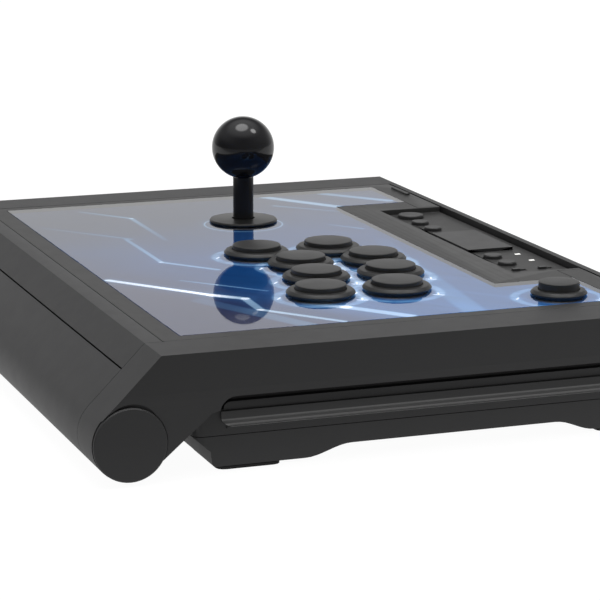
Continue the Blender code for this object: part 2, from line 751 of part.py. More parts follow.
def make_function_keys():
    """The round keys, the touchpad and the two slide switches, each with a foot that holds it in."""
    foot_high = DECK_Z - SUNK_DEPTH - TRAY_FLOOR - 0.5
    foot_low = foot_high - 1.1
    keys = []
    for name, place, radius, top in function_buttons():
        profile = [
            (0, top - foot_low),
            (radius - 0.5, top - foot_low),
            (radius, top - foot_low - 0.5),
            (radius, foot_high - foot_low),
            (radius + KEY_FOOT, foot_high - foot_low),
            (radius + KEY_FOOT, 0),
            (0, 0),
        ]
        keys.append(turned(name, profile, (*place, foot_low), "button_plastic", steps=KEY_STEPS))
    touch_x, touch_y = zip(TOUCH_LOW, TOUCH_HIGH)
    pad = block("touchpad", touch_x, touch_y, (foot_low, TOUCH_TOP_Z), "button_plastic")
    foot_x = (touch_x[0] - KEY_FOOT, touch_x[1] + KEY_FOOT)
    foot_y = (touch_y[0] + KEY_FOOT, touch_y[1] - KEY_FOOT)
    combine(pad, block("touchpad_foot", foot_x, foot_y, (foot_low + 0.1, foot_high)), "UNION")
    keys.append(pad)
    for i, (x, y) in enumerate(SLIDE_PLACES):
        knob_x = about(x, SLIDE_HALF[0])
        knob_y = about(y, SLIDE_HALF[1])
        knob = block(f"slide_switch_{i + 1}", knob_x, knob_y, (foot_low, SLIDE_TOP_Z), "button_plastic")
        foot_x = about(x, SLIDE_HALF[0] + KEY_FOOT)
        foot_y = about(y, SLIDE_HALF[1] + KEY_FOOT)
        foot = block(f"slide_foot_{i + 1}", foot_x, foot_y, (foot_low + 0.1, foot_high))
        combine(knob, foot, "UNION")
        keys.append(knob)
    return keys


def make_push_button(name, place, sizes):
    """A rimmed housing that drops into the deck and the cap that slides in it."""
    bore = sizes["cap"] + 0.35
    rim = sizes["rim"]
    barrel = sizes["barrel"]
    centre = (*place, DECK_Z)
    housing = turned(
        name + "_housing",
        [
            (bore, RIM_HEIGHT),
            (rim - 1.7, RIM_HEIGHT - 0.6),
            (rim, 1.2),
            (rim, GAP),
            (barrel, GAP),
            (barrel, -BARREL_DEPTH),
            (3.0, -BARREL_DEPTH),
            (3.0, 2.4 - BARREL_DEPTH),
            (bore, 2.4 - BARREL_DEPTH),
        ],
        centre,
        "button_plastic",
        ring=True,
    )
    top = sizes["top"]
    cap = turned(
        name + "_cap",
        [
            (0, top),
            (sizes["cap"] - 1.2 * sizes["edge"], top),
            (sizes["cap"], top - sizes["edge"]),
            (sizes["cap"], -11.0),
            (2.4, -11.0),
            (2.4, -19.0),
            (0, -19.0),
        ],
        centre,
        "button_plastic",
    )
    return [housing, cap]


def above_pivot(z):
    return z - PIVOT_Z


def make_stick_mounting():
    """The pieces of the lever that stay with the lid, from the mounting plate down to the gate."""
    middle = (STICK_X, STICK_Y)
    depth = (0, DECK_Z)
    square_x = about(STICK_X, HOUSING_HALF)
    square_y = about(STICK_Y, HOUSING_HALF)
    plate_x = about(STICK_X, MOUNT_PLATE_HALF[0])
    plate_y = about(STICK_Y, MOUNT_PLATE_HALF[1])
    plate = block("stick_mount_plate", plate_x, plate_y, MOUNT_PLATE_Z, "sheet_steel")
    combine(plate, cylinder("mount_plate_hole", middle, 14.0, depth, steps=ROUND_STEPS))
    housing = block("stick_housing", square_x, square_y, HOUSING_Z, "case_plastic")
    combine(housing, cylinder("housing_well", middle, 14.5, (HOUSING_WELL_Z, DECK_Z), steps=ROUND_STEPS))
    combine(housing, cylinder("housing_bore", middle, HOUSING_BORE, depth, steps=ROUND_STEPS))
    board = block("switch_board", square_x, square_y, SWITCH_BOARD_Z, "board_green")
    for i, (side_x, side_y) in enumerate(((1, 0), (-1, 0), (0, 1), (0, -1))):
        half_x, half_y = SWITCH_HALF if side_x else reversed(SWITCH_HALF)
        switch_x = about(STICK_X + SWITCH_REACH * side_x, half_x)
        switch_y = about(STICK_Y + SWITCH_REACH * side_y, half_y)
        switch_z = (SWITCH_BOARD_Z[1] - 0.5, SWITCH_TOP_Z)
        combine(board, block(f"microswitch_{i + 1}", switch_x, switch_y, switch_z), "UNION")
    combine(board, cylinder("board_hole", middle, 12.4, depth, steps=ROUND_STEPS))
    gate = block("restrictor_gate", square_x, square_y, GATE_Z, "case_plastic")
    gate_x = about(STICK_X, GATE_HALF)
    gate_y = about(STICK_Y, GATE_HALF)
    combine(gate, block("gate_opening", gate_x, gate_y, depth))
    return [plate, housing, board, gate]


def spring_curve():
    """The return spring round the shaft, four open turns of wire."""
    turns, per_turn, radius = 4, 10, 5.6
    low, high = above_pivot(SPRING_Z[0]), above_pivot(SPRING_Z[1])
    curve = bpy.data.curves.new("stick_spring", "CURVE")
    curve.dimensions = "3D"
    curve.bevel_depth = 0.55 * MM
    curve.bevel_resolution = 1
    curve.use_fill_caps = True
    spline = curve.splines.new("POLY")
    count = turns * per_turn
    spline.points.add(count)
    for i, point in enumerate(spline.points):
        angle = 2 * math.pi * i / per_turn
        height = low + (high - low) * i / count
        point.co = (radius * math.cos(angle) * MM, radius * math.sin(angle) * MM, height * MM, 1)
    return curve


def make_stick():
    """The pieces that tilt: pivot, shaft, sleeve, spring, actuator and ball, placed about the pivot."""
    centre = (STICK_X, STICK_Y, PIVOT_Z)
    bore = SHAFT_RADIUS + GAP
    ball = arc((0, 0), PIVOT_BALL, 51, -51, 8)
    mouth = bore + PIVOT_MOUTH
    waist = [(mouth, 7.0), *ball, (mouth, -7.0), (bore, 0)]
    pivot = turned("pivot", waist, centre, "white_plastic", ring=True)
    shaft_top = above_pivot(SHAFT_TOP_Z)
    shaft_low = above_pivot(SHAFT_LOW_Z)
    shaft = turned(
        "stick_shaft",
        [(0, shaft_top), (SHAFT_RADIUS, shaft_top), (SHAFT_RADIUS, shaft_low), (0, shaft_low)],
        centre,
        "shaft_steel",
        steps=16,
    )
    sleeve_high = above_pivot(BALL_Z) - BALL_RADIUS
    sleeve_low = 8.0
    sleeve = turned(
        "shaft_cover",
        [
            (bore, sleeve_high),
            (SLEEVE_RADIUS, sleeve_high),
            (SLEEVE_RADIUS, sleeve_low),
            (bore, sleeve_low),
        ],
        centre,
        "ball_plastic",
        steps=16,
        ring=True,
    )
    ball_z = above_pivot(BALL_Z)
    mouth = math.degrees(math.asin(bore / BALL_RADIUS)) - 90
    skin = arc((0, ball_z), BALL_RADIUS, 90, mouth, 12)
    ball_profile = [*skin, (bore, shaft_top + 0.5), (0, shaft_top + 0.5)]
    ball_top = turned("ball_top", ball_profile, centre, "ball_plastic", steps=ROUND_STEPS)
    actuator = turned(
        "actuator",
        [(bore, -15.2), (6.6, -15.2), (8.0, -16.4), (8.0, -21.3), (bore, -21.3)],
        centre,
        "white_plastic",
        ring=True,
    )
    spring = bpy.data.objects.new("stick_spring", spring_curve())
    spring.location = Vector(centre) * MM
    spring.data.materials.append(finish_material("shaft_steel"))
    PARTS.objects.link(spring)
    return [pivot, shaft, sleeve, ball_top, actuator, spring]


def make_washers():
    """The dust washer on the deck and the disc below the plate that it is carried by."""
    hole = SLEEVE_RADIUS + 0.7
    centre = (STICK_X, STICK_Y, DECK_Z)
    washer = turned(
        "dust_washer",
        [
            (hole, 2.0),
            (7.6, 1.9),
            (WASHER_RADIUS - 0.8, 1.5),
            (WASHER_RADIUS, 1.0),
            (WASHER_RADIUS, GAP),
            (hole, GAP),
        ],
        centre,
        "ball_plastic",
        steps=ROUND_STEPS,
        ring=True,
    )
    disc = turned(
        "lower_dust_disc",
        [(9.0, -5.0), (DISC_RADIUS, -5.0), (DISC_RADIUS, -6.2), (9.0, -6.2)],
        centre,
        "ball_plastic",
        steps=ROUND_STEPS,
        ring=True,
    )
    return [washer, disc]


def build():
    make_base()
    make_palm_rest()
    make_front_trim()
    lid = [make_lid_frame(), *make_deck(), make_function_tray(), *make_function_keys()]
    for name, place, sizes in button_places():
        lid += make_push_button(name, place, sizes)
    lid += make_stick_mounting()
    lid += make_washers()
    hinge = joint_empty("lid_hinge_axis", (0, HINGE_Y, HINGE_Z))
    pivot_point = joint_empty("stick_pivot_point", (STICK_X, STICK_Y, PIVOT_Z))
    parent_to(hinge, lid)
    parent_to(hinge, [pivot_point])
    stick = make_stick()
    for piece in stick:
        piece.parent = pivot_point
        piece.location = (0, 0, 0)


build()
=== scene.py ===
"""Looks of the arcade joystick panel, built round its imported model.

Numbers are millimetres unless a name ends in _M, and the builders turn them into metres. +X is the
player's right, +Y points away from the player and +Z is up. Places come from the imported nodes.
"""

import json
import math

import bmesh
import bpy
from mathutils import Matrix, Vector


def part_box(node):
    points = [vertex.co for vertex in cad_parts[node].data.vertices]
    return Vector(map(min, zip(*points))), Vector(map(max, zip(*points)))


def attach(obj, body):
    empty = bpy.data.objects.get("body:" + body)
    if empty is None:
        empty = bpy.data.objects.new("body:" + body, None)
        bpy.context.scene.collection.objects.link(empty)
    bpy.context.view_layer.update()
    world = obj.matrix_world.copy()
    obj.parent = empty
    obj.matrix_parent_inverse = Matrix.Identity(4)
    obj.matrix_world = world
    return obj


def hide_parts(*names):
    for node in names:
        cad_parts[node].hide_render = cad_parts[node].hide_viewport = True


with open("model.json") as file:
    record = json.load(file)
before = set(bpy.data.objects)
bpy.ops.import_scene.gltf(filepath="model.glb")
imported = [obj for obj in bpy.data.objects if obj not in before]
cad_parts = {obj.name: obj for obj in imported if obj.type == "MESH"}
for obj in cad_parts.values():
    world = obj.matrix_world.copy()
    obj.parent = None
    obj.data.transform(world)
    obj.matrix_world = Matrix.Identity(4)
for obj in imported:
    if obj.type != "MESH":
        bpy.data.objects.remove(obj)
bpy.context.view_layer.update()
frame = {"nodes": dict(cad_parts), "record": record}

MM = 0.001
NODES = frame["nodes"]
BODY_OF = {node: body for body, nodes in frame["record"]["behaviour"]["bodies"].items() for node in nodes}
SLOT_OF = {entry["node"]: entry["material_slot"] for entry in frame["record"]["subparts"]}

# Camera: where it stands, what it looks along, and its lens
CAMERA_PLACE_M = (1.2832, -0.4457, 0.3379)
CAMERA_LOOK = (-0.91673, 0.33468, -0.21819)
CAMERA_LENS = 156.9

# Studio: directions are horizontal, seen from the camera
AWAY = (-0.939, 0.343, 0.0)
RIGHTWARD = (0.343, 0.939, 0.0)
FLOOR_SIZE_M = 30.0
FLOOR_GAP_M = 0.0002  # how far the floor lies below the feet
SKY = {
    "behind low": 0.85,
    "near low": 0.17,
    "right low": 0.25,
    "left low": 0.10,
    "behind mid": 0.12,
    "near mid": 0.15,
    "right mid": 0.34,
    "left mid": 0.387,
    "top": 0.90,
}
# Soft boxes above: direction, half width in degrees, strength
SOFT_BOXES = (
    ((0.0, -0.06, 1.0), 17.0, 3.6),
    ((0.27, 0.45, 0.84), 8.0, 5.5),
)
FLOOR_GLOW = {"far": 0.759, "near": 0.34, "left": 0.771}
FLOOR_SHADE = 0.10  # how much of the floor's look comes from the light that falls on it

# Deck
SHEET_THICK = 0.5  # clear sheet on top
ART_DEPTH = 1.85  # from the top of the clear sheet down to the print

# How finely pieces are made
ROUND_STEPS = 96
SMOOTH_ANGLE = 35.0  # edges sharper than this stay sharp, in degrees
WELD = 0.002

# Grip rails: steps of the section, as (in from the outside, up from the bottom)
RAIL_CORNER = 4.5  # radius at the lower front corner
RAIL_LEDGE_TOP = 0.15
RAIL_LIP = (1.2, 1.3)
RAIL_FACE = (2.9, 2.3)
RAIL_HIGHLIGHT_Z = 24.3  # the lip and the ledge below this height are painted paler: painted highlights on their lit edges

# Function plate: where its fine grooves run, how deep the tray lies, and the tray's indicator lights
PLATE_GROOVES = (89.4, 92.8, 96.4, 101.0)
TRAY_DEPTH = 3.0
INDICATOR_PLACES = ((34.7, 134.1), (51.7, 134.5))
INDICATOR_SIZE = (2.0, 3.0)

# Push buttons, with heights from the deck
CAP_GAP = 0.35
CAP_DOME = 0.35
CAP_DOME_RINGS = 8
CAP_EDGE = 0.45
CAP_SKIRT = -11.0
PLUNGER_END = -19.0
PLUNGER_RADIUS = 2.4
HOUSING_FLOOR = 2.4  # thickness
PLUNGER_HOLE = 3.0
TERMINAL_SPREAD = 7.0
TERMINAL_SIZE = (0.5, 2.8, 6.0)

# Parts on the circuit board: places as shares of its width and depth, then sizes
CHIPS = ((0.45, 0.50, 14.0, 14.0, 1.6), (0.72, 0.35, 10.0, 6.0, 1.5), (0.22, 0.62, 8.0, 5.0, 1.4))
CAPACITORS = ((0.20, 0.30), (0.30, 0.30), (0.75, 0.60))
CAPACITOR_RADIUS = 3.1
CAPACITOR_HEIGHT = 5.6
CONNECTORS = 5
CONNECTOR_SIZE = (9.0, 5.0, 6.0)

# End caps: height of the break line on the outer wall, and how fast the wall leans in below it
CAP_BREAK_Z = 41.5
CAP_LEAN = 0.09
CAP_LEAN_MOST = 0.6
CAP_BEVEL = 0.30


def span(node):
    """Lowest and highest corner of a node, in millimetres."""
    low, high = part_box(node)
    return low / MM, high / MM


def middle(node):
    low, high = span(node)
    return (low + high) / 2


DECK_Z = span("deck_cover")[1].z


# ---------------------------------------------------------------- meshes


def linked(name, bm):
    """Puts a bmesh into the scene as an object, and frees it."""
    mesh = bpy.data.meshes.new(name)
    bm.to_mesh(mesh)
    bm.free()
    made = bpy.data.objects.new(name, mesh)
    bpy.context.scene.collection.objects.link(made)
    return made


def solid(name, bm):
    """Makes the object of a closed bmesh in millimetres."""
    bmesh.ops.recalc_face_normals(bm, faces=bm.faces)
    bmesh.ops.scale(bm, vec=(MM, MM, MM), verts=bm.verts)
    return linked(name, bm)


def finish_piece(name, bm, material, node=None, body=None, smooth=SMOOTH_ANGLE, bevel=0.0):
    """Makes the object of a bmesh in millimetres, shades it and lets it ride on its body."""
    made = solid(name, bm)
    mesh = made.data
    mesh.materials.append(material)
    if bevel:
        edges = made.modifiers.new("Edges", "BEVEL")
        edges.width = bevel * MM
        edges.segments = 3
        edges.limit_method = "ANGLE"
        edges.angle_limit = math.radians(smooth)
        edges.harden_normals = True
        edges.use_clamp_overlap = True
    if smooth:
        mesh.shade_smooth()
        mesh.set_sharp_from_angle(angle=math.radians(smooth))
    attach(made, body or BODY_OF[node])
    if node:
        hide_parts(node)
    return made


def node_mesh(node):
    """A bmesh of the node's own shape, in millimetres."""
    bm = bmesh.new()
    bm.from_mesh(NODES[node].data)
    bmesh.ops.scale(bm, vec=(1 / MM, 1 / MM, 1 / MM), verts=bm.verts)
    bmesh.ops.remove_doubles(bm, verts=bm.verts, dist=WELD)
    return bm


def fine_copy(node, material, bevel):
    """Stands for a node: its own mesh with flat faces joined again and its edges rounded."""
    bm = node_mesh(node)
    bmesh.ops.dissolve_limit(
        bm, angle_limit=math.radians(0.8), verts=bm.verts, edges=bm.edges, delimit={"NORMAL"}
    )
    if node.startswith("end_cap"):
        lean_in(bm)
    finish_piece(node + "_fine", bm, material, node, bevel=bevel)


def lean_in(bm):
    """Lets the lower band of an end cap's outer wall lean in a little, as its break line shows."""
    geometry = [*bm.verts, *bm.edges, *bm.faces]
    bmesh.ops.bisect_plane(bm, geom=geometry, dist=0.001, plane_co=(0, 0, CAP_BREAK_Z), plane_no=(0, 0, 1))
    wall = max(abs(vert.co.x) for vert in bm.verts)
    for vert in bm.verts:
        below = CAP_BREAK_Z - vert.co.z
        if below > 0.01 and abs(vert.co.x) > wall - 0.01:
            vert.co.x -= math.copysign(min(below * CAP_LEAN, CAP_LEAN_MOST), vert.co.x)


def filleted(points, steps=6):
    """A closed outline of (a, b, radius) corners as points, with each corner rounded by its radius."""
    outline = []
    count = len(points)
    for i, (a, b, radius) in enumerate(points):
        here = Vector((a, b))
        if radius <= 0:
            outline.append((a, b))
            continue
        back = (Vector(points[i - 1][:2]) - here).normalized()
        ahead = (Vector(points[(i + 1) % count][:2]) - here).normalized()
        half = back.angle(ahead) / 2
        centre = here + (back + ahead).normalized() * radius / math.sin(half)
        start = here + back * radius / math.tan(half) - centre
        end = here + ahead * radius / math.tan(half) - centre
        turn = start.angle_signed(end)
        for k in range(steps + 1):
            angle = -turn * k / steps
            spun = Vector(
                (
                    start.x * math.cos(angle) - start.y * math.sin(angle),
                    start.x * math.sin(angle) + start.y * math.cos(angle),
                )
            )
            outline.append(tuple(centre + spun))
    return outline


def lathe_mesh(profile, centre, steps=ROUND_STEPS):
    """A bmesh turned about the Z axis through centre. profile is a closed outline of (radius, height)."""
    bm = bmesh.new()
    rings = []
    for radius, height in profile:
        if radius < 1e-6:
            rings.append([bm.verts.new((centre[0], centre[1], centre[2] + height))])
            continue
        ring = []
        for k in range(steps):
            angle = 2 * math.pi * k / steps
            x = centre[0] + radius * math.cos(angle)
            y = centre[1] + radius * math.sin(angle)
            ring.append(bm.verts.new((x, y, centre[2] + height)))
        rings.append(ring)
    for i, ring in enumerate(rings):
        after = rings[(i + 1) % len(rings)]
        if len(ring) == 1 and len(after) == 1:
            continue
        for k in range(steps):
            corners = []
            for vert in (
                ring[k % len(ring)],
                ring[(k + 1) % len(ring)],
                after[(k + 1) % len(after)],
                after[k % len(after)],
            ):
                if vert not in corners:
                    corners.append(vert)
            bm.faces.new(corners)
    return bm


def turned(node, name, profile, centre, material, steps=ROUND_STEPS):
    """Stands for a node: a turned piece whose (radius, height, fillet) corners run round its section."""
    finish_piece(name, lathe_mesh(filleted(profile), centre, steps), material, node)


def prism(outline, axis, ends):
    """A bmesh of the outline, extruded along an axis: (y, z) points for X and (x, z) for Y."""
    bm = bmesh.new()
    low, high = ends
    if axis == "X":
        corners = [bm.verts.new((low, a, b)) for a, b in outline]
        move = (high - low, 0, 0)
    else:
        corners = [bm.verts.new((a, low, b)) for a, b in outline]
        move = (0, high - low, 0)
    face = bm.faces.new(corners)
    far = bmesh.ops.extrude_face_region(bm, geom=[face])["geom"]
    bmesh.ops.translate(bm, vec=move, verts=[v for v in far if isinstance(v, bmesh.types.BMVert)])
    return bm


def box_mesh(x, y, z):
    """A bmesh of a box between the (low, high) ends on each axis."""
    bm = bmesh.new()
    bmesh.ops.create_cube(bm, size=1.0)
    bmesh.ops.scale(bm, vec=(x[1] - x[0], y[1] - y[0], z[1] - z[0]), verts=bm.verts)
    centre = ((x[0] + x[1]) / 2, (y[0] + y[1]) / 2, (z[0] + z[1]) / 2)
    bmesh.ops.translate(bm, vec=centre, verts=bm.verts)
    return bm


def around(centre, size):
    return (centre - size / 2, centre + size / 2)


# ---------------------------------------------------------------- materials


def start_material(name):
    material = bpy.data.materials.new(name)
    material.use_nodes = True
    return material, material.node_tree, material.node_tree.nodes["Principled BSDF"]


def feed(tree, socket, value):
    """Links an output to the socket, or sets the socket to a value."""
    if isinstance(value, bpy.types.NodeSocket):
        tree.links.new(value, socket)
    elif socket.type == "RGBA" and len(value) == 3:
        socket.default_value = (*value, 1.0)
    else:
        socket.default_value = value


def add(tree, kind, inputs, **settings):
    node = tree.nodes.new(kind)
    for key, value in settings.items():
        setattr(node, key, value)
    for key, value in inputs.items():
        feed(tree, node.inputs[key], value)
    return node


def calc(tree, operation, *values, clamp=False):
    inputs = dict(enumerate(values))
    return add(tree, "ShaderNodeMath", inputs, operation=operation, use_clamp=clamp).outputs[0]


def vector_calc(tree, operation, *values):
    inputs = dict(enumerate(values))
    node = add(tree, "ShaderNodeVectorMath", inputs, operation=operation)
    return node.outputs["Value" if operation in ("DOT_PRODUCT", "LENGTH", "DISTANCE") else "Vector"]


def place_mm(tree):
    """The point's place in the model's frame, in millimetres."""
    place = tree.nodes.new("ShaderNodeTexCoord").outputs["Object"]
    scale = add(tree, "ShaderNodeVectorMath", {0: place, "Scale": 1 / MM}, operation="SCALE")
    return scale.outputs["Vector"]


def noise(tree, place, size, detail=3.0, roughness=0.5):
    """Noise between 0 and 1 whose features are about size millimetres across."""
    inputs = {"Vector": place, "Scale": 1 / size, "Detail": detail, "Roughness": roughness}
    return add(tree, "ShaderNodeTexNoise", inputs).outputs["Fac"]


def spread(tree, factor, low, high):
    """Maps 0..1 to low..high."""
    inputs = {"Value": factor, "To Min": low, "To Max": high}
    return add(tree, "ShaderNodeMapRange", inputs).outputs["Result"]


def step(tree, value, start, end):
    """0 before start, 1 after end, smooth between."""
    inputs = {"Value": value, "From Min": start, "From Max": end}
    node = add(tree, "ShaderNodeMapRange", inputs, interpolation_type="SMOOTHSTEP")
    return node.outputs["Result"]


def mixed(tree, factor, a, b, blend="MIX"):
    node = add(tree, "ShaderNodeMix", {0: factor}, data_type="RGBA", blend_type=blend)
    feed(tree, node.inputs[6], a)
    feed(tree, node.inputs[7], b)
    return node.outputs[2]


def moulded(name, tint, roughness, specular=0.5, grain=0.35, depth=0.010, lines=(), lip=None):
    """Moulded plastic: a fine spark-eroded grain, faint mottling and slightly uneven gloss.

    lines holds the Y places of fine grooves that run along X. lip holds a height and the pale tint
    that is painted below it: a painted highlight for the lit edges there.
    """
    material, tree, shader = start_material(name)
    place = place_mm(tree)
    mottle = noise(tree, place, 28.0, 4.0, 0.6)
    speck = noise(tree, place, grain * 2.5, 2.0)
    dark = tuple(c * 0.90 for c in tint)
    light = tuple(c * 1.10 for c in tint)
    shade = calc(tree, "ADD", calc(tree, "MULTIPLY", mottle, 0.6), calc(tree, "MULTIPLY", speck, 0.4))
    colour = mixed(tree, shade, dark, light)
    along = add(tree, "ShaderNodeSeparateXYZ", {0: place}).outputs["Y"]
    for line in lines:
        off = calc(tree, "ABSOLUTE", calc(tree, "SUBTRACT", along, line))
        colour = mixed(tree, step(tree, off, 0.30, 0.70), tuple(c * 0.45 for c in tint), colour)
    # Below that height the colour turns pale: a painted highlight.
    if lip:
        up = add(tree, "ShaderNodeSeparateXYZ", {0: place}).outputs["Z"]
        colour = mixed(tree, step(tree, up, lip[0] + 0.3, lip[0] - 0.3), colour, lip[1])
    feed(tree, shader.inputs["Base Color"], colour)
    gloss = noise(tree, place, 9.0, 3.0)
    feed(tree, shader.inputs["Roughness"], spread(tree, gloss, roughness - 0.04, roughness + 0.04))
    shader.inputs["Specular IOR Level"].default_value = specular
    bump = add(
        tree,
        "ShaderNodeBump",
        {"Height": noise(tree, place, grain, 2.0), "Distance": depth * MM, "Strength": 1.0},
    )
    feed(tree, shader.inputs["Normal"], bump.outputs["Normal"])
    return material


CASE = moulded("case_plastic_grain", (0.034, 0.034, 0.035), 0.50)
LID = moulded("lid_plastic_grain", (0.032, 0.032, 0.032), 0.48)
PLATE = moulded("function_plate_grain", (0.035, 0.035, 0.035), 0.48, lines=PLATE_GROOVES)
# Painted highlight: the pale tint low on the rail stands for the light caught by its lip and ledge.
PAINTED_HIGHLIGHT_TINT = (0.30, 0.30, 0.30)
RAIL = moulded(
    "rail_plastic_grain_and_highlight", (0.050, 0.050, 0.051), 0.36, grain=0.25, lip=(RAIL_HIGHLIGHT_Z, PAINTED_HIGHLIGHT_TINT)
)
BUTTON = moulded("button_plastic_grain", (0.028, 0.028, 0.028), 0.42, grain=0.22, depth=0.005)
KEY = moulded("key_plastic_grain", (0.034, 0.034, 0.035), 0.42, grain=0.22, depth=0.005)
WASHER = moulded("washer_plastic_grain", (0.018, 0.018, 0.0175), 0.36, grain=0.3, depth=0.004)
BALL = moulded("ball_polish", (0.010, 0.010, 0.012), 0.10, grain=1.5, depth=0.0008)
SLEEVE = moulded("sleeve_plastic", (0.018, 0.018, 0.019), 0.22, specular=0.3, grain=0.8, depth=0.001)
RUBBER = moulded("foot_rubber_grain", (0.020, 0.020, 0.020), 0.80, specular=0.3, grain=0.5, depth=0.03)
WHITE = moulded("white_moulding", (0.78, 0.78, 0.76), 0.45)
BOARD = moulded("board_solder_mask", (0.015, 0.11, 0.04), 0.35)


def make_lamp():
    """A lit window: pale plastic whose glow varies in small patches."""
    material, tree, shader = start_material("lit_window")
    glow = spread(tree, noise(tree, place_mm(tree), 1.2, 2.0), 0.5, 1.1)
    shader.inputs["Base Color"].default_value = (0.85, 0.85, 0.83, 1.0)
    shader.inputs["Roughness"].default_value = 0.35
    shader.inputs["Emission Color"].default_value = (1.0, 0.99, 0.95, 1.0)
    feed(tree, shader.inputs["Emission Strength"], glow)
    return material


LAMP = make_lamp()


def make_metal(name, tint, roughness):
    """Rolled or turned steel with fine streaks along X."""
    material, tree, shader = start_material(name)
    place = place_mm(tree)
    stretched = vector_calc(tree, "MULTIPLY", place, (0.02, 1.0, 1.0))
    streak = noise(tree, stretched, 0.4, 3.0)
    shader.inputs["Base Color"].default_value = (*tint, 1.0)
    shader.inputs["Metallic"].default_value = 1.0
    feed(tree, shader.inputs["Roughness"], spread(tree, streak, roughness - 0.08, roughness + 0.08))
    return material


SHEET_STEEL = make_metal("sheet_steel_rolled", (0.56, 0.57, 0.58), 0.36)
SHAFT_STEEL = make_metal("shaft_steel_turned", (0.62, 0.62, 0.64), 0.20)


def make_clear():
    """The clear sheet: it mirrors as glass does, and what lies under it shows straight through."""
    material, tree, shader = start_material("clear_sheet")
    tree.nodes.remove(shader)
    output = tree.nodes["Material Output"]
    fresnel = add(tree, "ShaderNodeFresnel", {"IOR": 1.5})
    haze = spread(tree, noise(tree, place_mm(tree), 60.0, 2.0), 0.015, 0.03)
    mirror = add(tree, "ShaderNodeBsdfGlossy", {"Color": (1.0, 1.0, 1.0), "Roughness": haze})
    through = add(tree, "ShaderNodeBsdfTransparent", {"Color": (1.0, 1.0, 1.0)})
    front = calc(tree, "SUBTRACT", 1.0, tree.nodes.new("ShaderNodeNewGeometry").outputs["Backfacing"])
    blend = add(tree, "ShaderNodeMixShader", {0: calc(tree, "MULTIPLY", fresnel.outputs[0], front)})
    feed(tree, blend.inputs[1], through.outputs[0])
    feed(tree, blend.inputs[2], mirror.outputs[0])
    feed(tree, output.inputs["Surface"], blend.outputs[0])
    return material


def distance_to(tree, place, start, end):
    """How far place is from the line between start and end, and how far along it, as 0 to 1."""
    ax, ay = start
    bx, by = end
    length_sq = (bx - ax) ** 2 + (by - ay) ** 2
    from_start = vector_calc(tree, "SUBTRACT", place, (ax, ay, 0))
    along = vector_calc(tree, "DOT_PRODUCT", from_start, ((bx - ax) / length_sq, (by - ay) / length_sq, 0))
    along = calc(tree, "MULTIPLY", along, 1.0, clamp=True)
    whole = {0: (bx - ax, by - ay, 0), "Scale": along}
    nearest = add(tree, "ShaderNodeVectorMath", whole, operation="SCALE")
    return vector_calc(tree, "DISTANCE", from_start, nearest.outputs["Vector"]), along


def glow_line(tree, place, start, end, width, bright, fade=(1.0, 1.0)):
    """A light line with a soft halo. fade holds its strength at the start and at the end."""
    distance, along = distance_to(tree, place, start, end)
    core = calc(tree, "SUBTRACT", 1.0, step(tree, distance, width * 0.35, width * 0.65))
    halo = calc(tree, "POWER", 2.718, calc(tree, "MULTIPLY", distance, -1 / (1.0 + 0.5 * width)))
    shape = calc(tree, "ADD", core, calc(tree, "MULTIPLY", halo, 0.22))
    strength = spread(tree, along, fade[0] * bright, fade[1] * bright)
    return calc(tree, "MULTIPLY", shape, strength)


# Colours of the print, and the rings round the push buttons and the lever: radius, width, brightness
ART_LEFT = (0.014, 0.024, 0.055)
ART_MIDDLE = (0.012, 0.080, 0.280)
ART_RIGHT = (0.040, 0.190, 0.540)
ART_FRONT = (0.040, 0.045, 0.110)
ART_STREAK = (0.006, 0.030, 0.110)
BUTTON_RING = (21.8, 4.0, 0.28)
LEVER_RING = (22.0, 0.9, 0.30)
ART_GLOW_MOST = 1.25
# Where the strokes beside the buttons lie, which are partly painted glints: out to the side, and back
# toward the camera
MARK_AND_GLINT_RADIUS = 20.5
MARK_AND_GLINT_BACK = 4.0
# Strokes beside a push button, placed as seen from the camera, partly print symbols and partly painted
# glints on the hole edges: side, lean, length
MARKS_AND_GLINTS = ((-1, 1.2, 3.0), (1, 0.6, 3.4), (1, -2.2, 2.6))
# Lines of the print: start, end, width, brightness, strength at start and end
ART_LINES = (
    ((29, -91.5), (80, -53), 4.2, 1.05, (0.75, 1.0)),
    ((80, -53), (93, -40), 5.0, 0.55, (2.0, 0.9)),
    ((93, -40), (119, -41), 4.4, 0.40, (1.1, 0.9)),
    ((119, -41), (156, -12), 3.6, 0.60, (0.9, 0.8)),
    ((115, -15), (128, 0), 6.0, 0.50, (0.3, 1.0)),
    ((128, 0), (156, 22), 6.5, 0.55, (0.9, 1.0)),
    ((90, -62), (158, -30), 9.0, 0.17, (0.4, 1.0)),
    ((60, 66), (158, 55), 12.0, 0.17, (0.4, 1.0)),
    ((-20, 78), (60, 66), 9.0, 0.14, (0.2, 1.0)),
    ((-157, -55), (-128, -33), 2.8, 0.26, (0.4, 1.0)),
    ((-128, -33), (-62, -33), 2.8, 0.26, (1.0, 0.25)),
    ((-117, -88), (-70, -50), 2.4, 0.16, (0.3, 1.0)),
    ((-70, -53), (-5, -53), 2.6, 0.32, (0.6, 1.0)),
    ((-5, -53), (23, -31), 3.0, 0.36, (1.0, 0.9)),
    ((42, -57), (58, -43), 2.0, 0.30, (0.5, 1.0)),
    ((58, -43), (80, -24), 2.0, 0.30, (1.0, 0.7)),
    ((-165, 61), (-122, 91), 6.5, 0.48, (0.9, 0.9)),
    ((-165, 97), (-130, 126), 6.0, 0.34, (0.8, 1.0)),
    ((-137, 57), (-107, 87), 3.0, 0.18, (1.0, 0.4)),
    ((-72, 67), (-55, 80), 2.5, 0.20, (0.4, 1.0)),
)


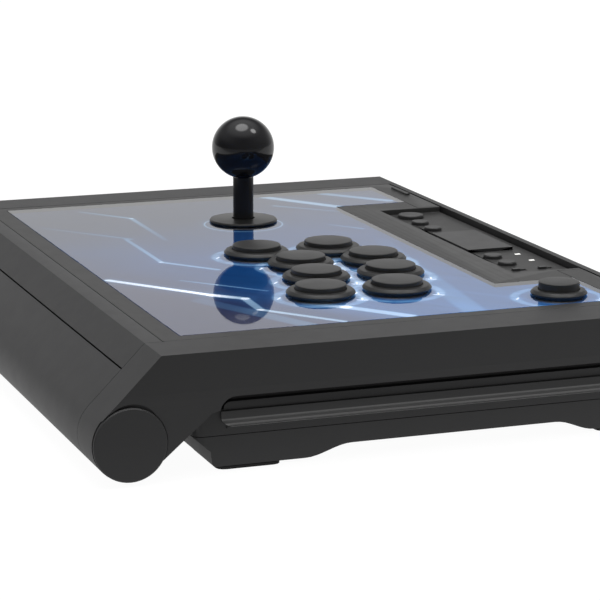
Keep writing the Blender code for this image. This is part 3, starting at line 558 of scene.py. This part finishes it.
def ring_glow(tree, place, centre, radius, width, bright):
    """A light ring with a soft halo."""
    distance = vector_calc(tree, "DISTANCE", place, (*centre, 0))
    off = calc(tree, "ABSOLUTE", calc(tree, "SUBTRACT", distance, radius))
    core = calc(tree, "SUBTRACT", 1.0, step(tree, off, width * 0.3, width * 0.8))
    halo = calc(tree, "POWER", 2.718, calc(tree, "MULTIPLY", off, -0.35))
    return calc(tree, "MULTIPLY", calc(tree, "ADD", core, calc(tree, "MULTIPLY", halo, 0.3)), bright)


def push_button_names():
    return [f"{row}_button_{i}" for row in ("lower", "upper") for i in range(1, 5)] + ["option_button"]


def button_centres():
    places = [middle(name + "_housing") for name in push_button_names()]
    return [(place.x, place.y) for place in places]


def button_marks_and_glints():
    """Short strokes at both sides of each push button as seen from the camera, partly print symbols and
    partly painted glints on the hole edges: start, end, width and brightness.
    """
    marks_and_glints = []
    for x, y in button_centres():
        for side, lean, length in MARKS_AND_GLINTS:
            middle_x = x + side * MARK_AND_GLINT_RADIUS * RIGHTWARD[0] - (MARK_AND_GLINT_BACK - lean) * AWAY[0]
            middle_y = y + side * MARK_AND_GLINT_RADIUS * RIGHTWARD[1] - (MARK_AND_GLINT_BACK - lean) * AWAY[1]
            start = (middle_x - length * 0.5, middle_y + lean)
            marks_and_glints.append((start, (middle_x + length * 0.5, middle_y - lean), 0.9, 0.8))
    return marks_and_glints


def make_artwork():
    """The print: near black at the left, navy and blue to the right, with light lines and rings that also
    glow a little as painted light.
    """
    material, tree, shader = start_material("deck_print")
    place = vector_calc(tree, "MULTIPLY", place_mm(tree), (1.0, 1.0, 0.0))
    turn = {"Vector": place, "Angle": math.radians(-40)}
    slanted = add(tree, "ShaderNodeVectorRotate", turn, rotation_type="Z_AXIS").outputs[0]
    streaks = noise(tree, vector_calc(tree, "MULTIPLY", slanted, (0.12, 1.0, 1.0)), 14.0, 4.0, 0.6)
    clouds = spread(tree, noise(tree, place, 70.0, 2.0), -40.0, 40.0)
    across = calc(tree, "ADD", vector_calc(tree, "DOT_PRODUCT", place, (1.0, 0.35, 0.0)), clouds)
    base = mixed(tree, step(tree, across, -160.0, 10.0), ART_LEFT, ART_MIDDLE)
    base = mixed(tree, step(tree, across, 20.0, 170.0), base, ART_RIGHT)
    front = vector_calc(tree, "DOT_PRODUCT", place, (0.55, -1.0, 0.0))
    base = mixed(tree, step(tree, front, 50.0, 120.0), base, ART_FRONT)
    base = mixed(tree, spread(tree, streaks, -0.1, 0.7), base, ART_STREAK)
    glow = None
    # The strokes beside the buttons are partly painted glints.
    for line in ART_LINES + tuple(button_marks_and_glints()):
        light = glow_line(tree, place, *line)
        glow = light if glow is None else calc(tree, "ADD", glow, light)
    patchy = spread(tree, noise(tree, place, 7.0, 2.0), 0.1, 1.5)
    for centre in button_centres():
        ring = ring_glow(tree, place, centre, *BUTTON_RING)
        glow = calc(tree, "MULTIPLY_ADD", ring, patchy, glow)
    stick = middle("dust_washer")
    glow = calc(tree, "ADD", glow, ring_glow(tree, place, (stick.x, stick.y), *LEVER_RING))
    glow = calc(tree, "MINIMUM", glow, ART_GLOW_MOST)
    light = add(
        tree,
        "ShaderNodeCombineColor",
        {
            "Red": calc(tree, "MULTIPLY", calc(tree, "POWER", glow, 1.7), 0.75),
            "Green": calc(tree, "MULTIPLY", calc(tree, "POWER", glow, 1.25), 0.85),
            "Blue": calc(tree, "MULTIPLY", glow, 0.95),
        },
    ).outputs[0]
    feed(tree, shader.inputs["Base Color"], mixed(tree, 1.0, base, light, "ADD"))
    # The light lines, rings and strokes also glow: painted light, as the print is no lamp.
    feed(tree, shader.inputs["Emission Color"], light)
    shader.inputs["Emission Strength"].default_value = 0.22
    shader.inputs["Roughness"].default_value = 0.30
    shader.inputs["Specular IOR Level"].default_value = 0.0
    return material


CLEAR = make_clear()
PRINT = make_artwork()


# ---------------------------------------------------------------- pieces


def cut(target, bm, name):
    """Cuts a bmesh in millimetres out of the object."""
    cutter = solid(name, bm)
    modifier = target.modifiers.new(name, "BOOLEAN")
    modifier.operation = "DIFFERENCE"
    modifier.object = cutter
    bpy.context.view_layer.update()
    evaluated = target.evaluated_get(bpy.context.evaluated_depsgraph_get())
    carved = bpy.data.meshes.new_from_object(evaluated)
    target.modifiers.remove(modifier)
    target.data = carved
    bpy.data.objects.remove(cutter, do_unlink=True)


def make_deck():
    """The clear sheet and the print below it, both standing for the deck cover."""
    bm = node_mesh("deck_cover")
    print_bm = bm.copy()
    for vert in bm.verts:
        if vert.co.z < DECK_Z - 0.1:
            vert.co.z = DECK_Z - SHEET_THICK
    for vert in print_bm.verts:
        if vert.co.z > DECK_Z - 0.1:
            vert.co.z = DECK_Z - ART_DEPTH
    finish_piece("clear_deck_sheet", bm, CLEAR, "deck_cover", smooth=0)
    finish_piece("printed_deck_sheet", print_bm, PRINT, "deck_cover", smooth=0)


def make_ball():
    """The ball, with a blind bore for the shaft."""
    ball = span("ball_top")
    centre = middle("ball_top")
    radius = (ball[1].x - ball[0].x) / 2
    centre.z = ball[1].z - radius
    mouth = span("stick_shaft")[1].x - middle("stick_shaft").x + 0.3
    profile = []
    last = math.degrees(math.asin(mouth / radius)) - 90
    count = 64
    for i in range(count + 1):
        angle = math.radians(90 + (last - 90) * i / count)
        profile.append((max(radius * math.cos(angle), 0.0) if i else 0.0, radius * math.sin(angle)))
    top = span("stick_shaft")[1].z + 0.5 - centre.z
    profile += [(mouth, top), (0.0, top)]
    bm = lathe_mesh(profile, centre, 128)
    finish_piece("polished_ball", bm, BALL, "ball_top", smooth=40)


def make_push_buttons():
    for name in push_button_names():
        make_push_button(name)
        make_terminals(name)


def make_push_button(name):
    """The rimmed housing and the domed cap with its plunger."""
    low, high = span(name + "_housing")
    cap_low, cap_high = span(name + "_cap")
    centre = middle(name + "_housing")
    centre.z = DECK_Z
    rim = (high.x - low.x) / 2
    rim_top = high.z - DECK_Z
    cap = (cap_high.x - cap_low.x) / 2
    cap_top = cap_high.z - DECK_Z
    bore = cap + CAP_GAP
    barrel = rim - (2.8 if name == "option_button" else 3.2)
    bottom = low.z - DECK_Z
    housing = [
        (bore, rim_top - 0.1, 0.15),
        (rim - 1.4, rim_top - 0.35, 0.9),
        (rim, 1.0, 0.5),
        (rim - 0.7, 0.02, 0.0),
        (barrel, 0.02, 0.0),
        (barrel, bottom, 0.8),
        (PLUNGER_HOLE, bottom, 0.0),
        (PLUNGER_HOLE, bottom + HOUSING_FLOOR, 0.0),
        (bore, bottom + HOUSING_FLOOR, 0.0),
    ]
    turned(name + "_housing", name + "_rim", housing, centre, BUTTON)
    shares = [k / CAP_DOME_RINGS for k in range(CAP_DOME_RINGS)]
    plunger = [(cap * share, cap_top - CAP_DOME * share**2, 0.0) for share in shares]
    plunger += [
        (cap, cap_top - CAP_DOME, CAP_EDGE),
        (cap, CAP_SKIRT, 0.2),
        (PLUNGER_RADIUS, CAP_SKIRT, 0.0),
        (PLUNGER_RADIUS, PLUNGER_END, 0.3),
        (0.0, PLUNGER_END, 0.0),
    ]
    turned(name + "_cap", name + "_plunger", plunger, centre, BUTTON)


def make_terminals(name):
    """Two steel blades under a push button, for its leads."""
    centre = middle(name + "_housing")
    bottom = span(name + "_housing")[0].z
    thick, wide, long = TERMINAL_SIZE
    for i, side in enumerate((-1, 1)):
        x = centre.x + side * TERMINAL_SPREAD
        bm = box_mesh(around(x, thick), around(centre.y, wide), (bottom - long, bottom + 0.6))
        blade = f"{name}_terminal_{i + 1}"
        finish_piece(blade, bm, SHAFT_STEEL, body=BODY_OF[name + "_housing"], bevel=0.1)


def make_board_parts():
    """Chips, capacitors and a row of lead connectors on the circuit board."""
    low, high = span("circuit_board")
    body = BODY_OF["circuit_board"]
    size = high - low
    top = high.z - 0.1
    for i, (across, along, wide, deep, tall) in enumerate(CHIPS):
        x = low.x + across * size.x
        y = low.y + along * size.y
        bm = box_mesh(around(x, wide), around(y, deep), (top, top + tall))
        finish_piece(f"board_chip_{i + 1}", bm, KEY, body=body, bevel=0.15)
    for i, (across, along) in enumerate(CAPACITORS):
        centre = (low.x + across * size.x, low.y + along * size.y, top)
        profile = [
            (0.0, 0.0, 0.0),
            (CAPACITOR_RADIUS, 0.0, 0.0),
            (CAPACITOR_RADIUS, CAPACITOR_HEIGHT, 0.4),
            (0.0, CAPACITOR_HEIGHT, 0.0),
        ]
        bm = lathe_mesh(filleted(profile), centre, 48)
        finish_piece(f"board_capacitor_{i + 1}", bm, SHEET_STEEL, body=body)
    wide, deep, tall = CONNECTOR_SIZE
    for i in range(CONNECTORS):
        x = low.x + size.x * (i + 1) / (CONNECTORS + 1)
        bm = box_mesh(around(x, wide), around(high.y - 6.5, deep), (top, top + tall))
        finish_piece(f"board_connector_{i + 1}", bm, WHITE, body=body, bevel=0.3)


def make_lever():
    """The shaft's cover and the dust washer. The ball has its own function."""
    sleeve = span("shaft_cover")
    centre = middle("shaft_cover")
    bore = (span("stick_shaft")[1].x - span("stick_shaft")[0].x) / 2 + 0.25
    out = (sleeve[1].x - sleeve[0].x) / 2
    half = (sleeve[1].z - sleeve[0].z) / 2
    profile = [(bore, half, 0.0), (out, half + 0.85, 0.0), (out, -half, 0.5), (bore, -half, 0.1)]
    turned("shaft_cover", "smooth_shaft_sleeve", profile, centre, SLEEVE, 64)
    washer = span("dust_washer")
    centre = middle("dust_washer")
    out = (washer[1].x - washer[0].x) / 2
    low = DECK_Z + 0.08 - centre.z
    high = washer[1].z - centre.z
    hole = sleeve[1].x - middle("shaft_cover").x + 0.7
    profile = [
        (hole, high, 0.2),
        (hole + 1.4, high - 0.1, 0.0),
        (out - 0.5, high - 0.45, 0.35),
        (out, low + 0.7, 0.3),
        (out - 0.2, low, 0.2),
        (hole, low, 0.0),
    ]
    turned("dust_washer", "moulded_dust_washer", profile, centre, WASHER, 128)


def make_grip_rails():
    """The rails under the sides: a flat grip, a flare below it and a thin ledge at the bottom."""
    for hand in ("left", "right"):
        low, high = span(f"grip_rail_{hand}")
        side = 1 if hand == "right" else -1
        inner = min(abs(low.x), abs(high.x))
        out = max(abs(low.x), abs(high.x))
        section = filleted(
            [
                (inner, low.z, 0.0),
                (out, low.z, 0.0),
                (out, low.z + RAIL_LEDGE_TOP, 0.1),
                (out - RAIL_LIP[0], low.z + RAIL_LEDGE_TOP, 0.1),
                (out - RAIL_LIP[0], low.z + RAIL_LIP[1], 0.25),
                (out - RAIL_FACE[0], low.z + RAIL_FACE[1], 0.9),
                (out - RAIL_FACE[0], high.z, 0.2),
                (inner, high.z, 0.0),
            ],
            steps=4,
        )
        bm = prism([(side * x, z) for x, z in section], "Y", (low.y, high.y))
        rail = finish_piece(f"soft_grip_rail_{hand}", bm, RAIL, f"grip_rail_{hand}")
        corner = [(low.y - 1, low.z - 1), (low.y + RAIL_CORNER, low.z - 1)]
        for k in range(9):
            angle = math.radians(90 * k / 8)
            y = low.y + RAIL_CORNER * (1 - math.sin(angle))
            corner.append((y, low.z + RAIL_CORNER * (1 - math.cos(angle))))
        corner.append((low.y - 1, low.z + RAIL_CORNER))
        reach = sorted((side * (inner - 1), side * (out + 1)))
        cut(rail, prism(corner, "X", reach), f"rail_corner_{hand}")


def make_indicators():
    """Two small lit windows in the tray, beside the touchpad."""
    floor_z = DECK_Z - TRAY_DEPTH
    wide, deep = INDICATOR_SIZE
    for i, (x, y) in enumerate(INDICATOR_PLACES):
        bm = box_mesh(around(x, wide), around(y, deep), (floor_z - 0.8, floor_z + 0.12))
        finish_piece(f"indicator_light_{i + 1}", bm, LAMP, body="lid", bevel=0.1)


# Slots whose nodes get fine copies: material and width of the rounded edges
FINE_COPIES = (
    ("case_plastic", CASE, 0.10),
    ("lid_plastic", LID, 0.30),
    ("foot_rubber", RUBBER, 0.10),
    ("key_plastic", KEY, 0.12),
)
KEEP_AS_THEY_ARE = {
    "board": BOARD,
    "sheet_steel": SHEET_STEEL,
    "shaft_steel": SHAFT_STEEL,
    "ball_plastic": BALL,
    "white_plastic": WHITE,
}


def make_fine_copies():
    for slot, material, bevel in FINE_COPIES:
        for node in sorted(n for n, s in SLOT_OF.items() if s == slot):
            width = CAP_BEVEL if node.startswith("end_cap") else bevel
            fine_copy(node, PLATE if node == "function_tray" else material, width)


def dress_nodes():
    """Gives each node that stays its own procedural material."""
    for node, slot in SLOT_OF.items():
        if slot in KEEP_AS_THEY_ARE:
            for place in NODES[node].material_slots:
                place.material = KEEP_AS_THEY_ARE[slot]


# ---------------------------------------------------------------- studio


def make_camera():
    """The camera that the picture is taken with."""
    data = bpy.data.cameras.new("camera")
    data.lens = CAMERA_LENS
    data.sensor_width = 36.0
    camera = bpy.data.objects.new("camera", data)
    camera.location = CAMERA_PLACE_M
    camera.rotation_euler = Vector(CAMERA_LOOK).to_track_quat("-Z", "Y").to_euler()
    bpy.context.scene.collection.objects.link(camera)
    bpy.context.scene.camera = camera


def make_floor():
    """A plain pale floor. It looks white, and lights the panel less from the camera's side."""
    bm = bmesh.new()
    bmesh.ops.create_grid(bm, x_segments=1, y_segments=1, size=FLOOR_SIZE_M / 2)
    floor = linked("studio_floor", bm)
    floor.location.z = -FLOOR_GAP_M
    material, tree, shader = start_material("floor_white")
    feed(tree, shader.inputs["Base Color"], (FLOOR_SHADE,) * 3)
    shader.inputs["Roughness"].default_value = 0.9
    shader.inputs["Specular IOR Level"].default_value = 0.0
    shader.inputs["Emission Color"].default_value = (1.0, 1.0, 1.0, 1.0)
    shader.inputs["Emission Strength"].default_value = 0.96
    place = tree.nodes.new("ShaderNodeTexCoord").outputs["Object"]
    near = step(tree, vector_calc(tree, "DOT_PRODUCT", place, AWAY), -0.05, -0.45)
    left = step(tree, vector_calc(tree, "DOT_PRODUCT", place, RIGHTWARD), -0.10, -0.50)
    glow = mixed(tree, left, (FLOOR_GLOW["far"],) * 3, (FLOOR_GLOW["left"],) * 3)
    glow = mixed(tree, near, glow, (FLOOR_GLOW["near"],) * 3)
    light = add(tree, "ShaderNodeEmission", {"Color": glow, "Strength": 1.0})
    seen = tree.nodes.new("ShaderNodeLightPath").outputs["Is Camera Ray"]
    blend = add(tree, "ShaderNodeMixShader", {0: seen})
    feed(tree, blend.inputs[1], light.outputs[0])
    feed(tree, blend.inputs[2], shader.outputs[0])
    feed(tree, tree.nodes["Material Output"].inputs["Surface"], blend.outputs[0])
    floor.data.materials.append(material)


def make_sky():
    """Soft light from all round. Each part of SKY fades into its neighbours."""
    world = bpy.data.worlds.new("studio")
    bpy.context.scene.world = world
    world.use_nodes = True
    tree = world.node_tree
    background = tree.nodes["Background"]
    direction = tree.nodes.new("ShaderNodeTexCoord").outputs["Generated"]
    height = add(tree, "ShaderNodeSeparateXYZ", {0: direction}).outputs["Z"]
    level = vector_calc(tree, "NORMALIZE", vector_calc(tree, "MULTIPLY", direction, (1.0, 1.0, 0.0)))
    away = vector_calc(tree, "DOT_PRODUCT", level, AWAY)
    side = vector_calc(tree, "DOT_PRODUCT", level, RIGHTWARD)
    turns = {}
    sides = (("behind", away, 1), ("near", away, -1), ("right", side, 1), ("left", side, -1))
    for name, value, sign in sides:
        facing = calc(tree, "MAXIMUM", calc(tree, "MULTIPLY", value, sign), 0.0)
        turns[name] = calc(tree, "MULTIPLY", facing, facing)
    rise = step(tree, height, 0.15, 0.60)
    top = step(tree, height, 0.60, 0.92)
    bands = {
        "low": calc(tree, "SUBTRACT", 1.0, rise),
        "mid": calc(tree, "SUBTRACT", rise, top),
        "top": top,
    }
    strength = calc(tree, "MULTIPLY", bands["top"], SKY["top"])
    for turn, share in turns.items():
        for band in ("low", "mid"):
            part = calc(tree, "MULTIPLY", share, bands[band])
            strength = calc(tree, "MULTIPLY_ADD", part, SKY[f"{turn} {band}"], strength)
    for toward, half, glow in SOFT_BOXES:
        facing = vector_calc(tree, "DOT_PRODUCT", direction, tuple(Vector(toward).normalized()))
        edge = math.cos(math.radians(half * 1.2))
        box = step(tree, facing, edge, math.cos(math.radians(half * 0.8)))
        strength = calc(tree, "MULTIPLY_ADD", box, glow, strength)
    seen = tree.nodes.new("ShaderNodeLightPath").outputs["Is Camera Ray"]
    strength = calc(tree, "MAXIMUM", strength, seen)
    feed(tree, background.inputs["Strength"], strength)
    background.inputs["Color"].default_value = (1.0, 1.0, 1.0, 1.0)
    bpy.context.scene.view_settings.view_transform = "Standard"


make_camera()
make_floor()
make_sky()
make_deck()
make_fine_copies()
make_push_buttons()
make_ball()
make_lever()
make_indicators()
make_board_parts()
make_grip_rails()
dress_nodes()
